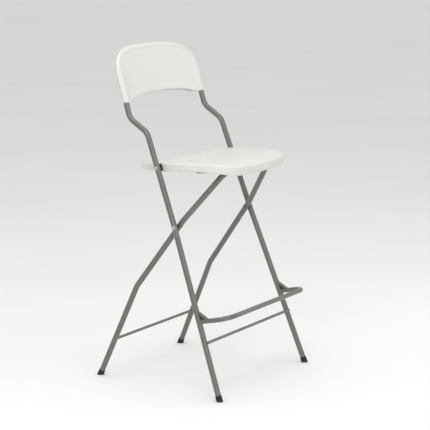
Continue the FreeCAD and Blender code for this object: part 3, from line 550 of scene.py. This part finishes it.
def build_seat():
    loop = seat_outline()
    nrm = loop_normals(loop)
    n = len(loop)
    ear = smoothstep((np.abs(loop[:, 0]) - 172) / 6) * smoothstep((loop[:, 1] - 44) / 12)
    rad = 9.5 - 3.6 * ear                       # top edge radius

    def top_z(p):
        x, y = p[:, 0], p[:, 1]
        k = smoothstep((y - 45.0) / 17.0) * smoothstep((np.abs(x) - 170.0) / 7.0)
        z = seat_top(np.minimum(y, 60.0))
        # a shallow dish where one sits, fading out before the edge
        e = (x / 176.0) ** 2 + ((y + 95.0) / 128.0) ** 2
        z = z - 2.6 * (1 - smoothstep((np.sqrt(e) - 0.15) / 0.95))
        tip = 749.5 + 4.5 * smoothstep((y - 56.0) / 30.0)
        return z * (1 - k) + tip * k

    gap = 1 - smoothstep((np.abs(loop[:, 0]) - 171.0) / 4.0)
    gap = gap * (loop[:, 1] > 30)
    low_edge = seat_low(loop[:, 1]) * (1 - gap) + (seat_top(loop[:, 1]) - 13.0) * gap
    base = top_z(loop - nrm * rad[:, None])      # height of the top where the rounding ends

    rings = []                                    # each: (n, 3)

    def ring(inset, z):
        p = loop - nrm * np.asarray(inset).reshape(-1, 1) if np.ndim(inset) else loop - nrm * inset
        rings.append(np.column_stack([p, z]))

    steps = 9
    for k in range(steps + 1):
        a = math.pi / 2 * (1 - k / steps)
        s = rad * (1 - math.cos(a))
        zz = top_z(loop - nrm * s[:, None])
        blendw = (1 - math.cos(a))
        zt = zz * blendw + base * (1 - blendw)
        ring(s, zt - rad * (1 - math.sin(a)))
    top_ring_count = steps + 1
    side_top = rings[-1][:, 2].copy()
    rb = 2.6
    side_low = low_edge + rb
    # side wall with a slight draft and the mould's parting line at mid height
    marks = [0.12, 0.26, 0.42, 0.56, 0.60, 0.62, 0.64, 0.68, 0.80, 0.91, 1.0]
    for t in marks:
        bead = 0.32 * math.exp(-((t - 0.62) / 0.018) ** 2)
        draft = 0.7 * (abs(t - 0.62) / 0.62) ** 1.5
        ring(np.full(n, draft - bead), side_top * (1 - t) + side_low * t)
    for k in range(1, 5):
        a = math.pi / 2 * k / 4
        ring(np.full(n, 0.7 + rb * (1 - math.cos(a))), side_low - rb * math.sin(a))

    verts = [tuple(p) for r in rings for p in r]
    faces = []
    for k in range(len(rings) - 1):
        for i in range(n):
            j = (i + 1) % n
            faces.append((k * n + i, k * n + j, (k + 1) * n + j, (k + 1) * n + i))

    # top sheet
    inner = rings[0][:, :2]
    p, tri, at = fill(inner, [], 5.2, 2.4)
    z = top_z(p)
    base_i = len(verts)
    used = {at[i]: i for i in range(n)}
    idx = []
    for i, q in enumerate(p):
        if i in used:
            idx.append(used[i])
        else:
            idx.append(len(verts))
            verts.append((q[0], q[1], z[i]))
    faces += [tuple(idx[i] for i in t) for t in tri]

    # underside: rim, recess with kiss-off dimples, open to the rear between the ears
    last = len(rings) - 1
    inner = rings[last][:, :2]
    rec = blur_loop(resample(whole(half_outline(ears=False)), 700), np.full(700, 3.0))
    rec = resample(rec - loop_normals(rec) * 10.0, 700)

    def recess_sd(q):
        """Positive inside the recess (and inside its open rear)."""
        ins = inside(rec, q)
        dd = dist_to(rec, q)
        sd = np.where(ins, dd, -dd)
        gap_sd = np.minimum(174.0 - np.abs(q[:, 0]), q[:, 1] - 20.0)
        return np.maximum(sd, gap_sd)

    dimples = []
    for ix in range(-6, 7):
        for iy in range(6):
            x = ix * 28.0
            y = -196.0 + iy * 40.0 + (20.0 if ix % 2 else 0.0)
            if abs(abs(x) - 78) < 33 or abs(x) > 168 or y > 24:
                continue
            dimples.append((x, y))

    def low_z(q):
        sd = recess_sd(q)
        rim = seat_low(q[:, 1])
        pan = seat_top(q[:, 1]) - 13.0
        k = smoothstep((sd + 0.2) / 2.2)
        z = rim * (1 - k) + pan * k
        for (dx, dy) in dimples:
            r = np.sqrt(((q[:, 0] - dx) / 8.0) ** 2 + ((q[:, 1] - dy) / 12.5) ** 2)
            z = z + 3.4 * (1 - smoothstep((r - 0.25) / 0.75)) * (sd > 4)
        return z

    lines = []
    for off in (-0.5, 0.3, 1.0, 2.2):
        o = rec - loop_normals(rec) * off
        keep = ~((np.abs(o[:, 0]) < 173.5) & (o[:, 1] > 15))
        k = np.where(~keep)[0]
        if len(k):
            o = np.roll(o, -(k.max() + 1) if (k.max() - k.min()) < len(o) - 1 else 0, axis=0)
            keep = ~((np.abs(o[:, 0]) < 173.5) & (o[:, 1] > 15))
        seg, cur = [], []
        for q, kk in zip(o, keep):
            if kk:
                cur.append(q)
            elif cur:
                seg.append(np.array(cur))
                cur = []
        if cur:
            seg.append(np.array(cur))
        lines += [s for s in seg if len(s) > 3]
        for sx in (-1, 1):
            lines.append(np.array([(sx * (174.0 - off), y) for y in np.linspace(38.0, 49.0, 8)]))
    p, tri, at = fill(inner, lines, 3.6, 1.5)
    z = low_z(p)
    used = {at[i]: last * n + i for i in range(n)}
    idx = []
    for i, q in enumerate(p):
        if i in used:
            idx.append(used[i])
        else:
            idx.append(len(verts))
            verts.append((q[0], q[1], z[i]))
    faces += [tuple(idx[i] for i in t) for t in tri]
    return verts, faces


seat_v, seat_f = build_seat()
seat = piece("seat_moulding", seat_v, seat_f, "seat", PLASTIC, "white_plastic", sharp=50)
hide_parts("seat_shell")


# ---------------------------------------------------------------------------
# moulded backrest, in its own plane: x across, h up along the uprights
# ---------------------------------------------------------------------------
TILT = math.radians(17.11)
SOCK = np.array([0.0, 149.1, 955.0])


def back_world(x, y, h):
    c, s = math.cos(TILT), math.sin(TILT)
    return np.column_stack([x, SOCK[1] + y * c + h * s, SOCK[2] - y * s + h * c])


def build_back():
    low = [(0, 23.5), (45, 22.9), (90, 20.5), (125, 16.4), (150, 11.8), (170, 5.8), (187, -0.8), (198, -3.1)]
    socket = [(205.0, -3.5), (213, -3.5), (222, -3.5), (229.2, -3.0), (232.3, 0.0)]
    side = [(233.1, 8), (233.4, 30), (233.4, 60), (233.2, 84), (231.8, 102), (228.6, 117), (222.4, 132),
            (213.2, 145.4), (202.0, 156.8), (187.5, 167.2), (169.5, 176.0), (148.0, 182.6), (118.0, 188.4),
            (86.0, 191.8), (42.0, 194.4), (0, 195.2)]
    half = catmull(low + socket + side, 12)
    fine = resample(whole(half), 1700)
    sig = np.where(fine[:, 1] < 12, 2.2, 6.0)
    sig = blur_loop(np.stack([sig, sig], 1), np.full(1700, 8.0))[:, 0]
    loop = resample(blur_loop(fine, sig), 860)
    nrm = loop_normals(loop)
    n = len(loop)

    def centre(x):
        """Where the middle of the thickness lies, y back from the socket axis."""
        a = np.clip(np.abs(x) / 223.0, 0, 1)
        return 30.0 * (1 - a ** 1.9)

    def half_thick(x, h):
        ridge = np.exp(-np.clip(np.abs(np.abs(x) - 221.2) / 14.5, 0, 3) ** 2.6)
        fade = 1 - smoothstep((h - 66.0) / 50.0)
        return 9.4 + 2.9 * ridge * fade

    # rounding width along the outline: broad at top and sides, tight and boxy below
    lowness = smoothstep((34.0 - loop[:, 1]) / 24.0) * (np.abs(loop[:, 0]) < 203)
    lowness = blur_loop(np.stack([lowness, lowness], 1), np.full(n, 5.0))[:, 0]
    mouth = smoothstep((10.0 - loop[:, 1]) / 12.0) * (np.abs(loop[:, 0]) >= 196)
    mouth = blur_loop(np.stack([mouth, mouth], 1).astype(float), np.full(n, 3.0))[:, 0]
    # the lower edge is open between the sockets: two lips with a channel between them
    open_w = smoothstep((188.0 - np.abs(loop[:, 0])) / 14.0) * (loop[:, 1] < 60)
    lip_out, lip_in, depth = 6.9 * open_w, 5.4 * open_w, 10.0 * open_w
    width = 13.0 * (1 - lowness) * (1 - mouth) + 3.4 * lowness * (1 - mouth) + 2.6 * mouth
    power = 2.0 + 2.0 * np.clip(mouth, 0, 1)
    rim = (1 - np.clip(lowness + mouth, 0, 1))

    def sunk(p, h, d, sgn):
        """The front face lies a little deeper than its rounded border."""
        keep = 1 - smoothstep((np.abs(p) - 184.0) / 18.0) * (1 - smoothstep((h - 96.0) / 34.0))
        low_fade = smoothstep((h - (24.0 - 0.0007 * p * p)) / 22.0)
        return (1.25 if sgn < 0 else 0.7) * smoothstep((d - 13.6) / 3.4) * keep * low_fade

    steps = 12
    verts, faces = [], []

    def skin(sgn, first):
        prev = first
        for k in range(1, steps + 4):
            if k <= steps:
                a = math.pi / 2 * k / steps
                s = width * (1 - max(math.cos(a), 0.0) ** (2.0 / power))
                scale = math.sin(a) ** (2.0 / power)
            else:
                s = width + (k - steps) * 1.35 * rim
                scale = 1.0
                if rim.min() < 1e-9:
                    s = s + (k - steps) * 0.25
            q = loop - nrm * s[:, None]
            full = half_thick(q[:, 0], q[:, 1])
            th = lip_out + (full - lip_out) * scale
            th = th - sunk(q[:, 0], q[:, 1], s, sgn)
            w = back_world(q[:, 0], centre(q[:, 0]) + sgn * th, q[:, 1])
            cur = list(range(len(verts), len(verts) + n))
            verts.extend([tuple(v) for v in w])
            for i in range(n):
                j = (i + 1) % n
                faces.append((prev[i], prev[j], cur[j], cur[i]))
            prev = cur
        inner = loop - nrm * s[:, None]
        p, tri, at = fill(inner, [], 4.4, 2.0)
        d = dist_to(loop, p)
        th = half_thick(p[:, 0], p[:, 1]) - sunk(p[:, 0], p[:, 1], d, sgn)
        w = back_world(p[:, 0], centre(p[:, 0]) + sgn * th, p[:, 1])
        used = {at[i]: prev[i] for i in range(n)}
        idx = []
        for i in range(len(p)):
            if i in used:
                idx.append(used[i])
            else:
                idx.append(len(verts))
                verts.append(tuple(w[i]))
        faces.extend([tuple(idx[i] for i in t) for t in tri])

    rows = []
    for half, deep in ((-lip_out, 0.0), (-lip_in, 0.0), (-lip_in, 1.0), (lip_in, 1.0), (lip_in, 0.0), (lip_out, 0.0)):
        q = loop - nrm * (depth * deep)[:, None]
        rows.append(list(range(len(verts), len(verts) + n)))
        verts.extend([tuple(v) for v in back_world(q[:, 0], centre(q[:, 0]) + half, q[:, 1])])
    for r0, r1 in zip(rows, rows[1:]):
        for i in range(n):
            j = (i + 1) % n
            faces.append((r0[i], r0[j], r1[j], r1[i]))
    skin(-1, rows[0])
    skin(1, rows[-1])
    return verts, faces


back_v, back_f = build_back()
back = piece("backrest_moulding", back_v, back_f, "front_frame", PLASTIC, "white_plastic", sharp=60)
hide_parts("backrest_shell")


# ---------------------------------------------------------------------------
# rubber foot caps: flared and ribbed, the sole cut level with the floor
# ---------------------------------------------------------------------------
FRONT_FOOT, LEG_PIVOT = (275.9, -258.7, 0.0), (232.6, -52.0, 552.5)
REAR_FOOT, REAR_KNEE = (243.6, 258.7, 0.0), (224.5, 111.7, 330.3)
TUBE_R = 9.5


def foot_cap(name, foot, toward, side, body, node):
    f = Vector((side * foot[0], foot[1], foot[2]))
    a = (Vector((side * toward[0], toward[1], toward[2])) - f).normalized()
    prof = [(0.0, -8.0), (11.05, -8.0), (11.08, 2.0), (11.05, 3.6), (10.95, 5.0)]
    for g in (7.4, 10.4, 13.4):                   # three shallow grip grooves
        prof += [(10.86, g - 0.9), (10.78, g - 0.55), (10.36, g - 0.2), (10.32, g), (10.36, g + 0.2),
                 (10.78, g + 0.55), (10.84, g + 0.9)]
    prof += [(10.78, 16.4), (10.76, 18.0), (10.66, 18.8), (10.42, 19.5), (10.1, 19.9), (9.75, 20.0), (9.35, 19.7),
             (9.3, 15.0), (0.0, 15.0)]
    v, q = revolve_data(prof, f, a, 72)
    bm = bmesh.new()
    vs = [bm.verts.new(p) for p in v]
    for face in q:
        bm.faces.new([vs[i] for i in face])
    bmesh.ops.recalc_face_normals(bm, faces=bm.faces)
    cut = bmesh.ops.bisect_plane(bm, geom=bm.verts[:] + bm.edges[:] + bm.faces[:], plane_co=(0, 0, 0),
                                 plane_no=(0, 0, -1), clear_outer=True, dist=1e-4)
    rimv = [e for e in cut["geom_cut"] if isinstance(e, bmesh.types.BMEdge)]
    made = bmesh.ops.edgeloop_fill(bm, edges=rimv)["faces"]
    sole = {w for e in rimv for w in e.verts}
    centre = sum((w.co for w in sole), Vector()) / len(sole)
    lift = {w: w for w in sole}
    # the wall's foot is drawn up the leg, the sole's face shrinks in two steps to a rounded edge
    low = bmesh.ops.inset_region(bm, faces=made, thickness=0.55, depth=0.0)
    low2 = bmesh.ops.inset_region(bm, faces=made, thickness=0.75, depth=0.0)
    core = {w for fc in made for w in fc.verts}
    for w in sole:
        w.co += a * (1.25 / a.z)
    for fc in low["faces"]:
        for w in fc.verts:
            if w not in sole and w not in core:
                w.co += a * (0.38 / a.z)
    verts = [tuple(w.co) for w in bm.verts]
    bm.verts.index_update()
    faces = [tuple(w.index for w in fc.verts) for fc in bm.faces]
    bm.free()
    o = piece(name, verts, faces, body, RUBBER, "black_rubber", sharp=42)
    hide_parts(node)
    return o


for word, side in (("left", 1), ("right", -1)):
    foot_cap("foot_cap_front_" + word, FRONT_FOOT, LEG_PIVOT, side, "front_frame", "front_foot_cap_" + word)
    foot_cap("foot_cap_rear_" + word, REAR_FOOT, REAR_KNEE, side, "rear_frame", "rear_foot_cap_" + word)


# ---------------------------------------------------------------------------
# rivets with a domed head and a small staking dimple
# ---------------------------------------------------------------------------
def head(radius, thick, base, out, n=9):
    """Rim to crown, 'out' is +1 or -1 along the axis."""
    rim = 0.75
    pts = [(radius - 0.25, base), (radius, base + out * 0.25), (radius, base + out * rim)]
    for k in range(1, n):
        a = math.pi / 2 * k / n
        pts.append((radius * math.cos(a), base + out * (rim + (thick - rim) * math.sin(a))))
    top = base + out * thick
    pts = [p for p in pts if p[0] > 2.4]
    pts += [(2.1, top - out * 0.05), (1.8, top - out * 0.16), (1.5, top - out * 0.5), (0.9, top - out * 0.62),
            (0.0, top - out * 0.66)]
    return pts


def rivet_piece(name, parts, node):
    o = piece(name, *join_data(parts), "front_frame", STEEL, "plated_steel", sharp=38)
    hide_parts(node)
    return o


leg_rivets, hinge_rivets, inner_heads = [], [], []
for side in (1, -1):
    inner_heads.append(revolve_data(head(7.25, 3.2, 195.95, -1)[::-1] + [(0.0, 195.95)], (0, -52.0, 552.5), (side, 0, 0), 56))
    outer = [(0.0, 196.0), (4.0, 196.0), (4.0, 238.9), (7.0, 238.9)] + head(7.25, 3.2, 241.9, 1)
    leg_rivets.append(revolve_data(outer, (0, -52.0, 552.5), (side, 0, 0), 56))
    outer = [(0.0, 200.0), (3.3, 200.0), (3.5, 200.3), (3.5, 233.2), (5.9, 233.2)] + head(6.2, 2.8, 236.12, 1)
    hinge_rivets.append(revolve_data(outer, (0, 20.9, 745.0), (side, 0, 0), 56))
rivet_piece("leg_rivets", leg_rivets, "leg_pivot_rivets")
rivet_piece("hinge_rivets", hinge_rivets, "seat_hinge_rivets")
piece("leg_rivet_inner_heads", *join_data(inner_heads), "front_frame", PAINT, "frame_paint", sharp=38)


# ---------------------------------------------------------------------------
# pan head screws with a cross recess
# ---------------------------------------------------------------------------
def screw_data(point, axis, turn):
    """Head's underside at point, shank along axis, head against it."""
    a, u, v = basis(tuple(-c for c in axis))
    c = Vector(point)
    radii = [0.0, 0.18, 0.36, 0.54, 0.72, 0.9, 1.1, 1.3, 1.5, 1.7, 1.9, 2.1, 2.35, 2.7, 3.1, 3.5, 3.85, 4.15, 4.36,
             4.47, 4.5, 4.5, 4.42]
    heights = [2.6] * 13 + [2.56, 2.46, 2.28, 2.04, 1.72, 1.34, 0.9, 0.5, 0.2, 0.0]
    seg = 64
    verts, rows = [], []
    for k, (r, z) in enumerate(zip(radii, heights)):
        row = []
        for i in range(1 if r == 0 else seg):
            th = 2 * math.pi * i / seg
            x, y = r * math.cos(th), r * math.sin(th)
            dep = 0.0
            for p, q in ((x, y), (y, x)):
                w = 0.52 - 0.12 * abs(p)
                t = min(max((w - abs(q)) / 0.16 + 0.5, 0), 1) * min(max((2.05 - abs(p)) / 0.35, 0), 1)
                dep = max(dep, t)
            row.append(len(verts))
            verts.append(c + u * (math.cos(turn) * x - math.sin(turn) * y) + v * (math.sin(turn) * x + math.cos(turn) * y)
                         + a * (z - 1.25 * dep))
        rows.append(row)
    faces = []
    for p, q in zip(rows, rows[1:]):
        for i in range(seg):
            j = (i + 1) % seg
            faces.append((p[0], q[i], q[j]) if len(p) == 1 else (p[i], q[i], q[j], p[j]))
    # short shank closes the underside
    base = rows[-1]
    prev = base
    for r, z in ((2.3, 0.0), (2.25, -1.6)):
        row = []
        for i in range(seg):
            th = 2 * math.pi * i / seg
            row.append(len(verts))
            x, y = r * math.cos(th), r * math.sin(th)
            verts.append(c + u * (math.cos(turn) * x - math.sin(turn) * y) + v * (math.sin(turn) * x + math.cos(turn) * y) + a * z)
        for i in range(seg):
            j = (i + 1) % seg
            faces.append((prev[i], row[i], row[j], prev[j]))
        prev = row
    faces.append(tuple(prev[::-1]))
    return verts, faces


parts = []
for side in (1, -1):
    for h in (24.0, 70.0):
        p = back_world(np.array([side * 221.2]), np.array([11.75]), np.array([h]))[0]
        parts.append(screw_data(p, (0, -math.cos(TILT), math.sin(TILT)), random.uniform(0, 1.5)))
o = piece("screws_backrest", *join_data(parts), "front_frame", STEEL, "plated_steel", sharp=40)
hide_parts("backrest_screws")

parts = []
for side in (1, -1):
    for y in (-150.0, -6.0):
        for s_ in (-1, 1):
            z = float(seat_top(y)) - 13.04 - 2.05
            parts.append(screw_data((side * 78.0 + s_ * 20.2, y, z), Vector((0, 0.052, 1)).normalized(), random.uniform(0, 1.5)))
    for y in (-163.0, -121.0):
        z = float(seat_top(y)) - 13.04 - 2.05
        parts.append(screw_data((side * 176.8, y, z), Vector((0, 0.052, 1)).normalized(), random.uniform(0, 1.5)))
o = piece("screws_seat", *join_data(parts), "seat", STEEL, "plated_steel", sharp=40)
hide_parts("seat_screws")


# ---------------------------------------------------------------------------
# weld beads where one tube is coped onto another
# ---------------------------------------------------------------------------
def weld(small_point, small_axis, small_r, big_point, big_axis, big_r, width=1.7, seed=0):
    """Bead along the line where the small tube's surface meets the big tube's."""
    a, u, v = basis(small_axis)
    bp, b = Vector(big_point), Vector(big_axis).normalized()
    sp = Vector(small_point)
    rnd = random.Random(seed)
    ph = [rnd.uniform(0, 6.28) for _ in range(4)]
    n, m = 84, 12
    ring, out_s, out_b = [], [], []
    for k in range(n):
        th = 2 * math.pi * k / n
        d = u * math.cos(th) + v * math.sin(th)
        p0 = sp + d * small_r
        w = p0 - bp
        w = w - b * w.dot(b)
        aa = a - b * a.dot(b)
        A, B, C = aa.dot(aa), 2 * w.dot(aa), w.dot(w) - big_r * big_r
        disc = max(B * B - 4 * A * C, 0.0)
        t = (-B - math.sqrt(disc)) / (2 * A)      # the crossing met first from outside
        q = p0 + a * t
        nb = q - bp
        nb = (nb - b * nb.dot(b)).normalized()
        ring.append(q)
        out_s.append(d)
        out_b.append(nb)
    verts, faces = [], []
    for k in range(n):
        along = (ring[(k + 1) % n] - ring[k - 1]).normalized()
        mid_dir = (out_s[k] + out_b[k])
        mid_dir = (mid_dir - along * mid_dir.dot(along)).normalized()
        cross = along.cross(mid_dir)
        ripple = 1 + 0.10 * math.sin(26 * 2 * math.pi * k / n + ph[0]) + 0.09 * math.sin(5 * 2 * math.pi * k / n + ph[1]) \
            + 0.06 * math.sin(9 * 2 * math.pi * k / n + ph[2])
        for j in range(m):
            f = 2 * math.pi * j / m
            verts.append(ring[k] + mid_dir * (math.cos(f) * width * 0.72 * ripple) + cross * (math.sin(f) * width * 1.15 * ripple))
    for k in range(n):
        k2 = (k + 1) % n
        for j in range(m):
            j2 = (j + 1) % m
            faces.append((k * m + j, k2 * m + j, k2 * m + j2, k * m + j2))
    return verts, faces


def on_line(p, q, z):
    t = (z - p[2]) / (q[2] - p[2])
    return tuple(p[i] + (q[i] - p[i]) * t for i in range(3))


parts = []
at = on_line(FRONT_FOOT, LEG_PIVOT, 182.7)
sy, sz = LEG_PIVOT[1] - FRONT_FOOT[1], LEG_PIVOT[2] - FRONT_FOOT[2]
ln = math.hypot(sy, sz)
off = (0, -sz / ln * 8.5, sy / ln * 8.5)
leg_at = on_line(FRONT_FOOT, LEG_PIVOT, 252.0)
for side in (1, -1):
    leg_dir = (side * (LEG_PIVOT[0] - FRONT_FOOT[0]), LEG_PIVOT[1] - FRONT_FOOT[1], LEG_PIVOT[2])
    foot = (side * FRONT_FOOT[0], FRONT_FOOT[1], 0.0)
    parts.append(weld((side * (at[0] - 60), at[1] + off[1], at[2] + off[2]), (side, 0, 0), 5.0, foot, leg_dir, TUBE_R, 1.1, 11 + side))
    tip = Vector((side * 256.0, -273.0, 277.0))
    root = Vector((side * (leg_at[0] - 1.0), leg_at[1], leg_at[2]))
    d = (root - tip).normalized()
    parts.append(weld(tuple(tip), tuple(d), 8.0, foot, leg_dir, TUBE_R, 1.3, 21 + side))
piece("weld_beads_front", *join_data(parts), "front_frame", PAINT, "frame_paint")

parts = []
at = on_line(REAR_FOOT, REAR_KNEE, 134.5)
for side in (1, -1):
    leg_dir = (side * (REAR_KNEE[0] - REAR_FOOT[0]), REAR_KNEE[1] - REAR_FOOT[1], REAR_KNEE[2])
    foot = (side * REAR_FOOT[0], REAR_FOOT[1], 0.0)
    parts.append(weld((side * (at[0] - 60), at[1], at[2]), (side, 0, 0), 5.0, foot, leg_dir, TUBE_R, 1.1, 31 + side))
piece("weld_beads_rear", *join_data(parts), "rear_frame", PAINT, "frame_paint")


# ---------------------------------------------------------------------------
# stage and light
# ---------------------------------------------------------------------------
bpy.context.scene.view_settings.view_transform = "Standard"
bpy.context.scene.view_settings.look = "None"

fl = bpy.data.meshes.new("floor")
fl.from_pydata([(-45, -45, 0), (45, -45, 0), (45, 45, 0), (-45, 45, 0)], [], [(0, 1, 2, 3)])
floor = bpy.data.objects.new("floor", fl)
bpy.context.scene.collection.objects.link(floor)
fm = Mat("floor_pale")
fm.set(Roughness=0.75, Specular_IOR_Level=0.2)
fm.out(fm.mix(fm.remap(fm.noise(1.2, 3, 0.5), 0.3, 0.7), (0.885, 0.885, 0.88), (0.905, 0.905, 0.90)))
fl.materials.append(fm.m)

world = bpy.data.worlds.new("world")
bpy.context.scene.world = world
world.use_nodes = True
world.node_tree.nodes["Background"].inputs["Color"].default_value = (1.0, 1.0, 1.0, 1.0)
world.node_tree.nodes["Background"].inputs["Strength"].default_value = 0.74


def area(name, loc, target, size, power, colour=(1, 1, 1)):
    ld = bpy.data.lights.new(name, "AREA")
    ld.shape = "RECTANGLE"
    ld.size, ld.size_y = size
    ld.energy = power
    ld.color = colour
    o = bpy.data.objects.new(name, ld)
    o.location = loc
    o.rotation_euler = (Vector(target) - Vector(loc)).to_track_quat("-Z", "Y").to_euler()
    o.visible_camera = False
    bpy.context.scene.collection.objects.link(o)
    return o


area("key", (-1.25, -0.55, 1.75), (0, 0.05, 0.90), (0.7, 0.7), 7.5, (1.0, 0.99, 0.97))
area("top", (0.0, 0.0, 4.2), (0, 0, 0.0), (3.6, 3.6), 45)
area("fill", (-2.2, -3.3, 1.6), (0, 0, 0.85), (2.0, 1.6), 22, (0.98, 0.99, 1.0))
area("side", (1.7, -1.5, 1.5), (0, 0.05, 0.95), (0.7, 1.1), 4.5)
